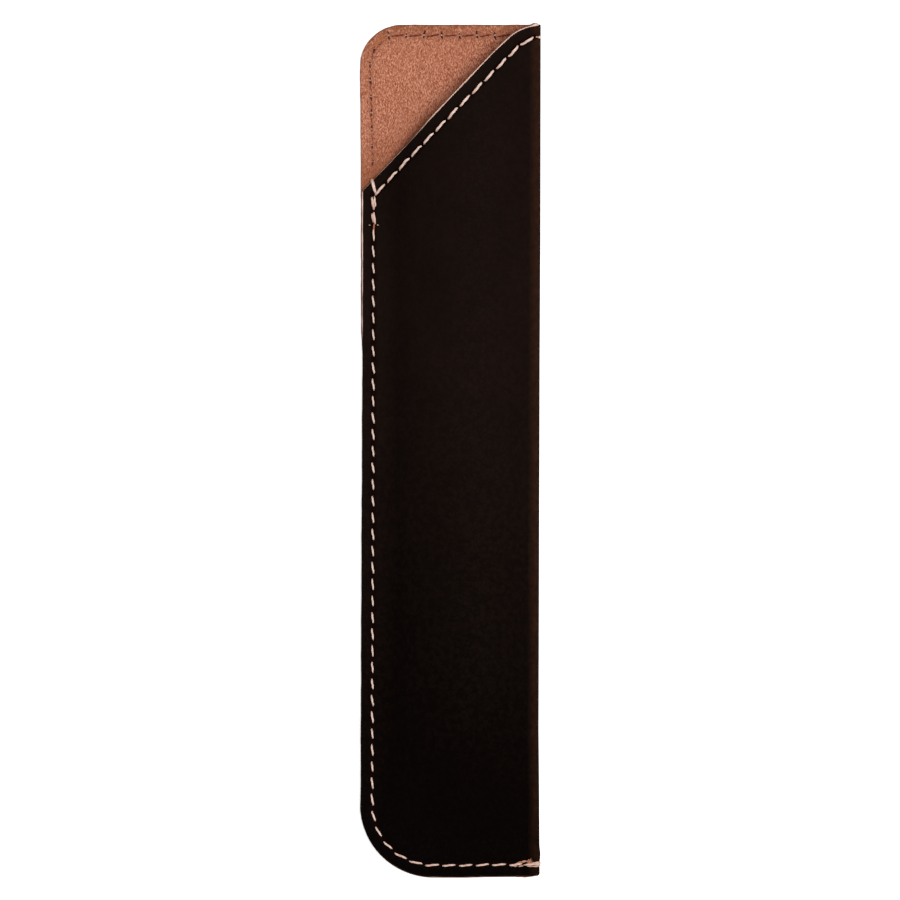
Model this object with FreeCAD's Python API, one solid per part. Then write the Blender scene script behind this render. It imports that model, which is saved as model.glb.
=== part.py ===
import FreeCAD, Part
import math
import os
from collections import namedtuple

# Single pen sleeve, lying on its back. One bonded blank is folded along +X and sewn along -X and the bottom.
# It is open at +Y, where the back stands past the slanted mouth as a tab. Millimetres, +Z out of the front.
# The origin is under the middle of the sleeve, on its back face.

# Sleeve outline
sleeve_length = 165.1
sleeve_width = 34.6
tab_corner_radius = 7.8
toe_corner_radius = 13.6
fold_corner_radius = 0.8

# Bonded sheets, from the outside in
cover_thickness = 0.45
base_cloth_thickness = 0.2
lining_thickness = 0.45

# Pocket: a crown over a flat back, pinched flat along the sewn side and the sewn bottom
pocket_height = 8.6
fold_radius = 3.0
flare_radius = 5.0
side_margin = 3.4
bottom_margin = 4.0
toe_length = 30.0
pinch_gap = 0.2
pinch_rise = 0.2
toe_steps = 6

# Slanted mouth of the front
mouth_angle = math.radians(46.0)
mouth_drop = 32.6
mouth_shoulder_radius = 10.0
mouth_corner_radius = 1.5
cloth_lip = 0.3
mouth_setback = 0.2
setback_run = 27.0

# Thread and needle holes
stitch_pitch = 3.25
tab_stitch_pitch = 3.45
thread_width = 0.6
thread_leg = 0.3
thread_rise = 0.5
thread_lift = 0.1
thread_bow = 0.9
thread_shoulder = 1.2
pressed_rise = 0.26
pressed_recess = 0.04
pressed_bow = 0.2
lock_gap = 0.06
hole_clearance = 0.14
groove_clearance = 0.06

# Seam lines
side_seam_inset = 2.35
bottom_seam_inset = 2.25
hem_inset = 2.1
seam_start_drop = 2.8
lip_stitch_reach = 1.4
hem_end_clearance = 1.7
tab_hem_clearance = 2.2
hem_fold_clearance = 3.5
seam_fold_clearance = 2.5
backtack_stitches = 2
backtack_shift = 0.3

# Cutting and solving
overrun = 1.0
bisection_steps = 60

# Sizes that follow
left = -sleeve_width / 2
right = sleeve_width / 2
bottom = -sleeve_length / 2
top = sleeve_length / 2
lining_depth = cover_thickness + base_cloth_thickness
sheet_thickness = lining_depth + lining_thickness
seam_height = 2 * sheet_thickness + pinch_gap
sleeve_height = 2 * sheet_thickness + pocket_height
full_rise = sleeve_height - seam_height
pinch_fold_radius = seam_height / 2
margin_end = left + side_margin
toe_start = bottom + bottom_margin
side_seam_x = left + side_seam_inset
bottom_seam_y = bottom + bottom_seam_inset
hole_past = pinch_gap / 2

Vector = FreeCAD.Vector
RIGHT = Vector(1, 0, 0)
LEFT = Vector(-1, 0, 0)
AHEAD = Vector(0, 1, 0)
BEHIND = Vector(0, -1, 0)
UP = Vector(0, 0, 1)
DOWN = Vector(0, 0, -1)
MOUTH_ALONG = Vector(math.cos(mouth_angle), math.sin(mouth_angle), 0)
MOUTH_INWARD = Vector(math.sin(mouth_angle), -math.cos(mouth_angle), 0)
MOUTH_OUTWARD = MOUTH_INWARD * -1
mouth_foot = Vector(left, top - mouth_drop, 0)

Profile = namedtuple("Profile", "fold_radius fold_centre crown_radius crown_centre flare_centre")
Hole = namedtuple("Hole", "seat normal depth")


def line(start, end):
    return Part.LineSegment(start, end).toShape()


def arc(centre, radius, start, end):
    """Arc about a centre between two unit directions less than half a turn apart."""
    middle = (start + end).normalize()
    return Part.Arc(centre + start * radius, centre + middle * radius, centre + end * radius).toShape()


# Section of the folded blank

def crown_radius_for(rise, height, fold, span):
    """Radius of the crown that runs smoothly into the flare on one side and the fold on the other."""
    def excess(crown):
        to_flare = math.sqrt(rise * (2 * (crown + flare_radius) - rise))
        to_fold = math.sqrt((2 * crown - height) * (height - 2 * fold))
        return to_flare + to_fold - span

    low = height / 2
    high = height
    while excess(high) < 0:
        high *= 2
    for _ in range(bisection_steps):
        middle = (low + high) / 2
        if excess(middle) < 0:
            low = middle
        else:
            high = middle
    return high


def profile_at(rise_share):
    """Outside of the folded blank where the crown has this share of its rise."""
    rise = pinch_rise + (full_rise - pinch_rise) * rise_share
    fold = pinch_fold_radius + (fold_radius - pinch_fold_radius) * rise_share
    height = seam_height + rise
    fold_centre = Vector(right - fold, 0, fold)
    flare_centre = Vector(margin_end, 0, seam_height + flare_radius)
    crown = crown_radius_for(rise, height, fold, fold_centre.x - margin_end)
    reach = math.sqrt(rise * (2 * (crown + flare_radius) - rise))
    crown_centre = Vector(margin_end + reach, 0, height - crown)
    return Profile(fold, fold_centre, crown, crown_centre, flare_centre)


def blank_edges(profile, depth):
    """The blank's face at a depth, from the back's sewn edge round the fold to the front's sewn edge."""
    to_fold = (profile.fold_centre - profile.crown_centre).normalize()
    to_flare = (profile.flare_centre - profile.crown_centre).normalize()
    fold = profile.fold_radius - depth
    front = seam_height - depth
    return [
        line(Vector(left, 0, depth), Vector(profile.fold_centre.x, 0, depth)),
        arc(profile.fold_centre, fold, DOWN, RIGHT),
        arc(profile.fold_centre, fold, RIGHT, to_fold),
        arc(profile.crown_centre, profile.crown_radius - depth, to_fold, to_flare),
        arc(profile.flare_centre, flare_radius + depth, to_flare * -1, DOWN),
        line(Vector(margin_end, 0, front), Vector(left, 0, front)),
    ]


def sheet_section(y, rise_share, outer_depth, inner_depth):
    """Closed section of one bonded sheet across the sleeve."""
    profile = profile_at(rise_share)
    front_end = line(Vector(left, 0, seam_height - outer_depth), Vector(left, 0, seam_height - inner_depth))
    back_end = line(Vector(left, 0, inner_depth), Vector(left, 0, outer_depth))
    inside = [edge.reversed() for edge in reversed(blank_edges(profile, inner_depth))]
    wire = Part.Wire(blank_edges(profile, outer_depth) + [front_end] + inside + [back_end])
    wire.translate(Vector(0, y, 0))
    return wire


def stations():
    """Places along the sleeve, with the share of the crown's rise at each."""
    places = [(bottom, 0), (toe_start, 0)]
    for step in range(1, toe_steps + 1):
        along = step / toe_steps
        places.append((toe_start + toe_length * along, along * along * (3 - 2 * along)))
    places.append((top, 1))
    return places


def rise_share_at(y):
    """Share of the crown's rise at a place along the sleeve."""
    places = stations()
    for (low_y, low_share), (high_y, high_share) in zip(places, places[1:]):
        if y <= high_y:
            return low_share + (high_share - low_share) * (y - low_y) / (high_y - low_y)
    return 1


def folded_sheet(outer_depth, inner_depth):
    sections = [sheet_section(y, share, outer_depth, inner_depth) for y, share in stations()]
    return Part.makeLoft(sections, True, True)


# Outline of the sleeve

def outside_corner(corner_x, corner_y, radius):
    """What a rounded corner of the outline leaves off."""
    inward_x = -math.copysign(1, corner_x)
    inward_y = -math.copysign(1, corner_y)
    height = sleeve_height + 2 * overrun
    centre = Vector(corner_x + inward_x * radius, corner_y + inward_y * radius, -overrun)
    far = Vector(corner_x - inward_x * overrun, corner_y - inward_y * overrun, -overrun)
    near_corner = Vector(min(centre.x, far.x), min(centre.y, far.y), -overrun)
    block = Part.makeBox(abs(far.x - centre.x), abs(far.y - centre.y), height, near_corner)
    return block.cut(Part.makeCylinder(radius, height, centre))


def mouth_shoulder():
    """Centre of the arc between the slanted mouth and the top edge."""
    y = top - mouth_shoulder_radius
    x = left + (mouth_shoulder_radius + (y - mouth_foot.y) * MOUTH_ALONG.x) / MOUTH_ALONG.y
    return Vector(x, y, 0)


def mouth_corner():
    """Centre of the arc between the slanted mouth and the sewn side."""
    x = left + mouth_setback + mouth_corner_radius
    y = mouth_foot.y + ((x - left) * MOUTH_ALONG.y - mouth_corner_radius) / MOUTH_ALONG.x
    return Vector(x, y, 0)


def above_mouth(inset):
    """What the mouth leaves off the front, with its edge drawn in by an inset."""
    shoulder = mouth_shoulder()
    corner = mouth_corner()
    shoulder_radius = mouth_shoulder_radius - inset
    corner_radius = mouth_corner_radius - inset
    setback_start = Vector(left, corner.y - setback_run, 0)
    shoulder_top = shoulder + AHEAD * shoulder_radius
    far_right = max(shoulder.x, right) + overrun
    far_left = left - overrun
    far_top = top + overrun
    outline = Part.Wire([
        line(Vector(far_left, setback_start.y, 0), setback_start),
        line(setback_start, corner + LEFT * corner_radius),
        arc(corner, corner_radius, LEFT, MOUTH_OUTWARD),
        line(corner + MOUTH_OUTWARD * corner_radius, shoulder + MOUTH_OUTWARD * shoulder_radius),
        arc(shoulder, shoulder_radius, MOUTH_OUTWARD, AHEAD),
        line(shoulder_top, Vector(far_right, shoulder_top.y, 0)),
        line(Vector(far_right, shoulder_top.y, 0), Vector(far_right, far_top, 0)),
        line(Vector(far_right, far_top, 0), Vector(far_left, far_top, 0)),
        line(Vector(far_left, far_top, 0), Vector(far_left, setback_start.y, 0)),
    ])
    between_sheets = sheet_thickness + pinch_gap / 2
    outline.translate(UP * between_sheets)
    return Part.Face(outline).extrude(UP * (sleeve_height + overrun - between_sheets))


# Needle holes, each seated on the side that the needle went in

def hole_places(path, pitch):
    """Evenly spaced needle places along a path."""
    count = max(1, round(path.Length / pitch))
    return path.discretize(count + 1)


def front_hole(place):
    """A needle hole through the front alone, square to its outside."""
    profile = profile_at(rise_share_at(place.y))
    crown = profile.crown_centre
    flare = profile.flare_centre
    flare_end = crown.x + (flare - crown).normalize().x * profile.crown_radius
    if place.x <= margin_end:
        normal = Vector(UP)
        height = seam_height
    elif place.x < flare_end:
        drop = math.sqrt(flare_radius ** 2 - (place.x - flare.x) ** 2)
        normal = Vector(flare.x - place.x, 0, drop)
        height = flare.z - drop
    else:
        climb = math.sqrt(profile.crown_radius ** 2 - (place.x - crown.x) ** 2)
        normal = Vector(place.x - crown.x, 0, climb)
        height = crown.z + climb
    return Hole(Vector(place.x, place.y, height), normal.normalize(), sheet_thickness)


def through_hole(place):
    """A needle hole through the front and the back together."""
    seat = front_hole(place).seat
    return Hole(seat, Vector(UP), seat.z)


def side_seam_start():
    """Place of the first hole of the side seam, below the slanted mouth."""
    edge_y = mouth_foot.y + (side_seam_x - left) * math.tan(mouth_angle)
    return Vector(side_seam_x, edge_y - seam_start_drop, 0)


def side_seam_holes():
    """Holes down the sewn side, round the toe and along the bottom to the fold."""
    radius = toe_corner_radius - side_seam_inset
    centre = Vector(side_seam_x + radius, bottom_seam_y + radius, 0)
    path = Part.Wire([
        line(side_seam_start(), centre + LEFT * radius),
        arc(centre, radius, LEFT, BEHIND),
        line(centre + BEHIND * radius, Vector(right - seam_fold_clearance, bottom_seam_y, 0)),
    ])
    return [through_hole(place) for place in hole_places(path, stitch_pitch)]


def lip_hole():
    """The hole in the tab from which one stitch crosses the mouth edge to the side seam."""
    place = side_seam_start() + AHEAD * (seam_start_drop + lip_stitch_reach)
    return Hole(place + UP * sheet_thickness, Vector(UP), sheet_thickness)


def beside(holes, direction):
    """Holes of a second row of stitches, laid close beside the first and a little further along it."""
    along = (holes[1].seat - holes[0].seat).normalize()
    step = direction * (thread_width + hole_clearance) + along * backtack_shift
    return [hole._replace(seat=hole.seat + step) for hole in holes]


def front_hem_holes():
    """Holes of the hem along the slanted mouth."""
    shoulder = mouth_shoulder()
    radius = mouth_shoulder_radius - hem_inset
    foot = mouth_foot + MOUTH_INWARD * hem_inset
    to_side_seam = (side_seam_x - foot.x) / MOUTH_ALONG.x
    path = Part.Wire([
        line(foot + MOUTH_ALONG * (to_side_seam + hem_end_clearance), shoulder + MOUTH_OUTWARD * radius),
        arc(shoulder, radius, MOUTH_OUTWARD, AHEAD),
    ])
    places = hole_places(path, stitch_pitch)
    return [front_hole(place) for place in places if place.x <= right - hem_fold_clearance]


def tab_hem_holes():
    """Holes of the hem round the tab, sewn from the back."""
    radius = tab_corner_radius - hem_inset
    centre = Vector(left + tab_corner_radius, top - tab_corner_radius, 0)
    hem_end = lip_hole().seat.y + tab_hem_clearance
    path = Part.Wire([
        line(Vector(right - hem_fold_clearance, top - hem_inset, 0), centre + AHEAD * radius),
        arc(centre, radius, AHEAD, LEFT),
        line(centre + LEFT * radius, Vector(left + hem_inset, hem_end, 0)),
    ])
    return [Hole(place, Vector(DOWN), sheet_thickness) for place in hole_places(path, tab_stitch_pitch)]


def other_side(holes):
    """The same holes seen from the side of the bobbin."""
    return [Hole(hole.seat - hole.normal * hole.depth, hole.normal * -1, hole.depth) for hole in holes]


# Stitches, and the holes and grooves that they lie in

def seam_placement(seat, along, normal):
    """Placement at a seat with X along the seam and Z out of the sheet."""
    along = Vector(along).normalize()
    normal = (normal - along * normal.dot(along)).normalize()
    across = normal.cross(along)
    return FreeCAD.Placement(FreeCAD.Matrix(
        along.x, across.x, normal.x, seat.x,
        along.y, across.y, normal.y, seat.y,
        along.z, across.z, normal.z, seat.z,
        0, 0, 0, 1,
    ))


def stitch_placement(first, second):
    return seam_placement(first.seat, second.seat - first.seat, first.normal + second.normal)


def leg_length(hole):
    """How far a thread goes down its hole before it locks with the thread from the other side."""
    return (hole.depth - lock_gap) / 2


def stitch(first, second, base, rise, bow, first_leg, second_leg):
    """One thread bowed from hole to hole, diving at its ends into two legs that go down into the sheets."""
    length = (second.seat - first.seat).Length
    start = lock_gap / 2
    end = length - start
    peak = base + rise
    run = min(thread_shoulder, length / 3)
    radius = (run ** 2 + bow ** 2) / (2 * bow)
    dive = Vector(-run, 0, radius - bow).normalize()
    rebound = Vector(run, 0, radius - bow).normalize()

    def at(along, height):
        return Vector(along, -thread_width / 2, height)

    outline = Part.Wire([
        line(at(start, -first_leg), at(start, peak - bow)),
        arc(at(start + run, peak - radius), radius, dive, UP),
        line(at(start + run, peak), at(end - run, peak)),
        arc(at(end - run, peak - radius), radius, UP, rebound),
        line(at(end, peak - bow), at(end, -second_leg)),
        line(at(end, -second_leg), at(end - thread_leg, -second_leg)),
        line(at(end - thread_leg, -second_leg), at(end - thread_leg, base)),
        line(at(end - thread_leg, base), at(start + thread_leg, base)),
        line(at(start + thread_leg, base), at(start + thread_leg, -first_leg)),
        line(at(start + thread_leg, -first_leg), at(start, -first_leg)),
    ])
    thread = Part.Face(outline).extrude(AHEAD * thread_width)
    thread.Placement = stitch_placement(first, second)
    return thread


def stitch_row(holes, base, rise, bow):
    pairs = zip(holes, holes[1:])
    return [stitch(one, two, base, rise, bow, leg_length(one), leg_length(two)) for one, two in pairs]


def proud_stitches(holes):
    """Stitches that stand on the sheet."""
    return stitch_row(holes, thread_lift, thread_rise, thread_bow)


def pressed_stitches(holes):
    """Stitches pressed flush into the sheet."""
    return stitch_row(holes, -pressed_recess - pressed_rise, pressed_rise, pressed_bow)


def lip_stitch(lip, below):
    """The stitch that stands up from the tab and lies over the mouth edge."""
    step = seam_height - sheet_thickness
    lifted = lip._replace(seat=lip.seat + UP * step)
    long_leg = step + leg_length(lip)
    return stitch(lifted, below, thread_lift, thread_rise, thread_bow, long_leg, leg_length(below))


def grooves(holes):
    """Room in the sheet for pressed stitches, between one hole and the next."""
    depth = pressed_recess + pressed_rise + groove_clearance
    width = thread_width + 2 * groove_clearance
    cutters = []
    for one, two in zip(holes, holes[1:]):
        length = (two.seat - one.seat).Length - 2 * thread_leg
        cutter = Part.makeBox(length, width, depth + hole_past, Vector(thread_leg, -width / 2, -depth))
        cutter.Placement = stitch_placement(one, two)
        cutters.append(cutter)
    return cutters


def needle_holes(holes):
    """Square holes through the sheets, each with room for the two threads in it."""
    length = lock_gap + 2 * (thread_leg + hole_clearance)
    width = thread_width + 2 * hole_clearance
    before = holes[:1] + holes[:-1]
    after = holes[1:] + holes[-1:]
    cutters = []
    for one, hole, two in zip(before, holes, after):
        corner = Vector(-length / 2, -width / 2, -hole.depth - hole_past)
        cutter = Part.makeBox(length, width, hole.depth + 2 * hole_past, corner)
        cutter.Placement = seam_placement(hole.seat, two.seat - one.seat, hole.normal)
        cutters.append(cutter)
    return cutters


# Pieces

def bonded_sheets(cutter_groups):
    """The three sheets of the blank, cut to outline and pierced."""
    corners = [
        outside_corner(left, top, tab_corner_radius),
        outside_corner(left, bottom, toe_corner_radius),
        outside_corner(right, bottom, fold_corner_radius),
    ]
    layers = {
        "outer_cover": (0, cover_thickness, cloth_lip),
        "base_cloth": (cover_thickness, lining_depth, 0),
        "suede_lining": (lining_depth, sheet_thickness, 0),
    }
    shapes = {}
    for name, (outer_depth, inner_depth, mouth_inset) in layers.items():
        shape = folded_sheet(outer_depth, inner_depth)
        for cutters in [corners, [above_mouth(mouth_inset)]] + cutter_groups:
            shape = shape.cut(cutters)
        shapes[name] = shape
    return shapes


def build_sleeve():
    side = side_seam_holes()
    lip = lip_hole()
    at_mouth = beside(side[:backtack_stitches + 1], LEFT)
    at_fold = beside(side[-backtack_stitches - 1:], BEHIND)
    front_hem = front_hem_holes()
    tab_hem = tab_hem_holes()
    side_back = other_side([lip] + side)
    mouth_back = other_side(at_mouth)
    fold_back = other_side(at_fold)
    front_hem_inside = other_side(front_hem)
    tab_hem_inside = other_side(tab_hem)

    pieces = bonded_sheets([
        needle_holes([lip] + side) + needle_holes(front_hem) + needle_holes(tab_hem),
        needle_holes(at_mouth) + needle_holes(at_fold),
        grooves(side_back) + grooves(front_hem_inside) + grooves(tab_hem) + grooves(tab_hem_inside),
        grooves(mouth_back) + grooves(fold_back),
    ])

    back_rows = [side_back, mouth_back, fold_back]
    threads = {
        "mouth_hem_needle_thread": proud_stitches(front_hem) + pressed_stitches(tab_hem),
        "mouth_hem_bobbin_thread": pressed_stitches(front_hem_inside) + pressed_stitches(tab_hem_inside),
        "side_seam_needle_thread": proud_stitches(side),
        "side_seam_bobbin_thread": [thread for row in back_rows for thread in pressed_stitches(row)],
        "mouth_backtack": [lip_stitch(lip, side[0])] + proud_stitches(at_mouth),
        "fold_backtack": proud_stitches(at_fold),
    }
    for name, stitches in threads.items():
        pieces[name] = Part.makeCompound(stitches)
    return pieces


os.makedirs("parts", exist_ok=True)
for piece_name, piece in build_sleeve().items():
    piece.exportStep("parts/" + piece_name + ".step")
    print(piece_name, len(piece.Solids), "solids, valid", piece.isValid(), "volume", round(piece.Volume, 2))
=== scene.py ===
import math
from collections import namedtuple
from functools import partial

import bpy
import numpy as np
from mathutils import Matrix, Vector


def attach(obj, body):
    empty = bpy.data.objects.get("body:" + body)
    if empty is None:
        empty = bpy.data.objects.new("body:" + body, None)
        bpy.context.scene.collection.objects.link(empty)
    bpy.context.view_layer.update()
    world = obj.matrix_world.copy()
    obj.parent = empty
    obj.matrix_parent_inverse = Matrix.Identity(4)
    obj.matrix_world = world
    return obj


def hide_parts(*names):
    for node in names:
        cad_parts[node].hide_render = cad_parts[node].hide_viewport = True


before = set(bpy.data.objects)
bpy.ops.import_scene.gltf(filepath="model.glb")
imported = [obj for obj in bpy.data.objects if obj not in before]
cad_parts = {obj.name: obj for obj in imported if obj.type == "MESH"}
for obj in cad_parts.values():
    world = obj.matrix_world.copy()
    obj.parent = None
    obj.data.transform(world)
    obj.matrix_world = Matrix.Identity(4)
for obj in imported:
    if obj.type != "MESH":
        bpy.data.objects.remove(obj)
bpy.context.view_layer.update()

# Single pen sleeve on its back: three bonded sheets folded along +X, sewn along -X and the bottom.
# Lengths are metres. The first values, up to the finer ones, are the same as in the CAD source.
mm = 0.001

# Sleeve outline
sleeve_length = 165.1 * mm
sleeve_width = 34.6 * mm
tab_corner_radius = 7.8 * mm
toe_corner_radius = 13.6 * mm
fold_corner_radius = 0.8 * mm

# Bonded sheets, from the outside in
cover_thickness = 0.45 * mm
base_cloth_thickness = 0.2 * mm
lining_thickness = 0.45 * mm

# Pocket: a crown over a flat back, pinched flat along the sewn side and the sewn bottom
pocket_height = 8.6 * mm
fold_radius = 3.0 * mm
flare_radius = 5.0 * mm
side_margin = 3.4 * mm
bottom_margin = 4.0 * mm
toe_length = 30.0 * mm
pinch_gap = 0.2 * mm
pinch_rise = 0.2 * mm
bisection_steps = 60

# Slanted mouth of the front
mouth_angle = math.radians(46.0)
mouth_drop = 32.6 * mm
mouth_shoulder_radius = 10.0 * mm
mouth_corner_radius = 1.5 * mm
mouth_setback = 0.2 * mm

# Seam lines
stitch_pitch = 3.25 * mm
tab_stitch_pitch = 3.45 * mm
side_seam_inset = 2.35 * mm
bottom_seam_inset = 2.25 * mm
hem_inset = 2.1 * mm
seam_start_drop = 2.8 * mm
lip_stitch_reach = 1.4 * mm
tab_hem_clearance = 2.2 * mm
hem_fold_clearance = 3.5 * mm
seam_fold_clearance = 2.5 * mm

# Finer values that only the looks have: the stitch rows
hem_start_clearance = 0.14 * mm
hem_last_clearance = 1.2 * mm
hem_stitch_pitch = 3.36 * mm
hem_line_inset = 2.17 * mm
side_seam_lift = 0.3 * mm
side_seam_early_end = 0.5 * mm
tab_row_reach = 1.5 * mm
tab_turn_reach = 5.3 * mm
tab_turn_inset = 2.55 * mm
tab_turn_drop = 4.6 * mm
tab_side_inset = 1.68 * mm
tab_side_end_inset = 2.25 * mm
tab_side_pitch = 3.2 * mm
tab_side_width = 3.0 * mm
bottom_row_rise = 3.0 * mm

# How the seams press the sheets
seam_press = 0.1 * mm
seam_press_width = 0.75 * mm
hole_press = 0.14 * mm
hole_press_width = 0.5 * mm
back_groove = 0.26 * mm
tab_squeeze = 1.6
points_per_stitch = 8

# Cut edges: the base cloth's lip along the mouth, and the lining's rim under the bottom
cloth_lip = 0.22 * mm
lip_least = 0.38
lip_fade_from = -7.5 * mm
lip_fade_to = -2.0 * mm
lining_reveal = 0.12 * mm
lining_rim = 0.2 * mm
frayed_from = 12.6 * mm
frayed_to = 17.2 * mm
frayed_ease = 1.0 * mm
frayed_share = 0.6
frayed_waver = 0.8
edge_fade = 3.0 * mm
edge_waver = 0.05 * mm
toe_trim = 0.35 * mm
fold_corner_trim = 0.25 * mm

# The fold at the end of the bottom seam, and its peak at the mouth
fold_bulge = 0.16 * mm
fold_bulge_y = -78.4 * mm
fold_bulge_length = 1.1 * mm
fold_nip = 0.16 * mm
fold_nip_length = 0.4 * mm
fold_reach = 1.6 * mm
corner_peak = 0.3 * mm
corner_peak_x = 16.4 * mm
corner_peak_width = 0.6 * mm

# Reach of the finish that follows an edge
cut_reach = 0.35 * mm
top_margin_reach = 2.0 * mm
mouth_shade_reach = 1.9 * mm
mouth_shade_from = -7.0 * mm
mouth_shade_to = 0.0 * mm

# How far the sewn edge is drawn in from the CAD's edge, at places along Y
draw_y = np.array([-69.0, -64.0, -20.0, 19.0, 23.5, 50.0, 60.0, 72.0, 82.6]) * mm
skin_draw = np.array([0.0, 0.1, 0.14, 0.22, 0.3, 0.4, 0.42, 0.42, 0.42]) * mm
cloth_draw = np.array([0.02, 0.12, 0.17, 0.25, 0.16, 0.16, 0.16, 0.16, 0.16]) * mm
back_draw = np.array([0.02, 0.12, 0.17, 0.25, -0.04, -0.06, -0.1, -0.22, -0.2]) * mm

# How far the mouth edge bows out from its straight line, at places along X
mouth_bow_x = np.array([-7.0, -4.0, 2.0, 8.5, 11.0, 16.0]) * mm
mouth_bow = np.array([0.1, 0.32, 0.38, 0.47, 0.3, 0.0]) * mm

# How far the sewn sleeve is out of square: lean of its fold and side, lift of its bottom
lean_y = np.array([-82.0, -68.0, -54.0, 0.0, 18.0, 40.0, 82.0]) * mm
fold_lean = np.array([0.05, -0.03, -0.16, 0.0, 0.05, 0.18, 0.25]) * mm
side_lean = np.array([-0.13, -0.13, -0.12, 0.04, 0.08, 0.08, 0.08]) * mm
lift_x = np.array([-17.3, -11.0, -8.5, -4.0, 3.0, 7.0, 17.3]) * mm
bottom_lift = np.array([0.22, 0.22, 0.2, 0.12, 0.1, 0.22, 0.3]) * mm
lift_run = 45.0 * mm

# Sizes that follow
left = -sleeve_width / 2
right = sleeve_width / 2
bottom = -sleeve_length / 2
top = sleeve_length / 2
lining_depth = cover_thickness + base_cloth_thickness
sheet_thickness = lining_depth + lining_thickness
seam_height = 2 * sheet_thickness + pinch_gap
full_rise = pocket_height - pinch_gap
pinch_fold_radius = seam_height / 2
margin_end = left + side_margin
toe_start = bottom + bottom_margin
toe_radius = toe_corner_radius + toe_trim
side_seam_x = left + side_seam_inset
bottom_seam_y = bottom + bottom_seam_inset
mouth_foot_y = top - mouth_drop
mouth_along = np.array([math.cos(mouth_angle), math.sin(mouth_angle)])
mouth_inward = np.array([math.sin(mouth_angle), -math.cos(mouth_angle)])
side_seam_top = mouth_foot_y + side_seam_inset * math.tan(mouth_angle) - seam_start_drop
lip_place = np.array([side_seam_x, side_seam_top + seam_start_drop + lip_stitch_reach])
shoulder_y = top - mouth_shoulder_radius
shoulder_x = left + (mouth_shoulder_radius + (shoulder_y - mouth_foot_y) * mouth_along[0]) / mouth_along[1]
corner_x = left + mouth_setback + mouth_corner_radius
corner_y = mouth_foot_y + ((corner_x - left) * mouth_along[1] - mouth_corner_radius) / mouth_along[0]


def smooth_step(x):
    x = np.clip(x, 0, 1)
    return x * x * (3 - 2 * x)


# Section of the folded blank

largest_crown_radius = 1.0


def profile_at(y):
    """Fold radius, and crown radius and centre, at places along the sleeve."""
    share = smooth_step((np.asarray(y, float) - toe_start) / toe_length)
    rise = pinch_rise + (full_rise - pinch_rise) * share
    fold = pinch_fold_radius + (fold_radius - pinch_fold_radius) * share
    height = seam_height + rise
    span = right - fold - margin_end
    low = height / 2
    high = np.full_like(low, largest_crown_radius)
    for _ in range(bisection_steps):
        middle = (low + high) / 2
        to_flare = np.sqrt(rise * (2 * (middle + flare_radius) - rise))
        to_fold = np.sqrt((2 * middle - height) * (height - 2 * fold))
        short = to_flare + to_fold < span
        low = np.where(short, middle, low)
        high = np.where(short, high, middle)
    crown = high
    crown_x = margin_end + np.sqrt(rise * (2 * (crown + flare_radius) - rise))
    crown_z = height - crown
    return fold, crown, crown_x, crown_z


def front_height(x, y, depth=0.0):
    """Height of the front's face at a depth under its outside."""
    fold, crown, crown_x, crown_z = profile_at(y)
    fold_x = right - fold
    flare_z = seam_height + flare_radius
    fold_share = (fold_x - crown_x) / np.hypot(fold_x - crown_x, fold - crown_z)
    flare_share = (margin_end - crown_x) / np.hypot(margin_end - crown_x, flare_z - crown_z)
    on_fold = fold + np.sqrt(np.maximum((fold - depth) ** 2 - (x - fold_x) ** 2, 0))
    on_crown = crown_z + np.sqrt(np.maximum((crown - depth) ** 2 - (x - crown_x) ** 2, 0))
    on_flare = flare_z - np.sqrt(np.maximum((flare_radius + depth) ** 2 - (x - margin_end) ** 2, 0))
    height = np.where(x > crown_x + (crown - depth) * fold_share, on_fold, on_crown)
    height = np.where(x < crown_x + (crown - depth) * flare_share, on_flare, height)
    return np.where(x < margin_end, seam_height - depth, height)


def back_height(x, y, depth=0.0):
    """Height of the back's face at a depth over its outside."""
    fold = profile_at(y)[0]
    fold_x = right - fold
    on_fold = fold - np.sqrt(np.maximum((fold - depth) ** 2 - (x - fold_x) ** 2, 0))
    return np.where(x > fold_x, on_fold, depth)


# Outline of the sleeve, as a height along Y over each place across it

def bottom_edge(x):
    into_toe = np.clip(left + toe_radius - x, 0, toe_radius)
    corner = fold_corner_radius - fold_corner_trim
    into_corner = np.clip(x - right + corner, 0, corner)
    toe = toe_radius - np.sqrt(toe_radius ** 2 - into_toe ** 2)
    fold = corner - np.sqrt(corner ** 2 - into_corner ** 2)
    return bottom + toe + fold


def tab_edge(x):
    into_corner = np.clip(left + tab_corner_radius - x, 0, tab_corner_radius)
    return top - tab_corner_radius + np.sqrt(tab_corner_radius ** 2 - into_corner ** 2)


def mouth_edge(x, inset):
    corner = mouth_corner_radius - inset
    shoulder = mouth_shoulder_radius - inset
    slant = mouth_foot_y + (x - left) * math.tan(mouth_angle) - inset / mouth_along[0]
    on_corner = corner_y + np.sqrt(np.maximum(corner ** 2 - (x - corner_x) ** 2, 0))
    on_shoulder = shoulder_y + np.sqrt(np.maximum(shoulder ** 2 - (x - shoulder_x) ** 2, 0))
    y = np.where(x < corner_x - corner * mouth_along[1], on_corner, slant)
    return np.where(x > shoulder_x - shoulder * mouth_along[1], on_shoulder, y)


# Seam lines and their needle holes

rounding_slack = 1e-9


def straight(start, end):
    start, end = np.array(start), np.array(end)
    length = np.linalg.norm(end - start)
    return length, lambda s: start + (end - start) * (s / length)


def bend(centre, radius, start_angle, end_angle):
    centre = np.array(centre)
    length = radius * abs(end_angle - start_angle)

    def at(s):
        angle = start_angle + (end_angle - start_angle) * s / length
        return centre + radius * np.array([math.cos(angle), math.sin(angle)])

    return length, at


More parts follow.
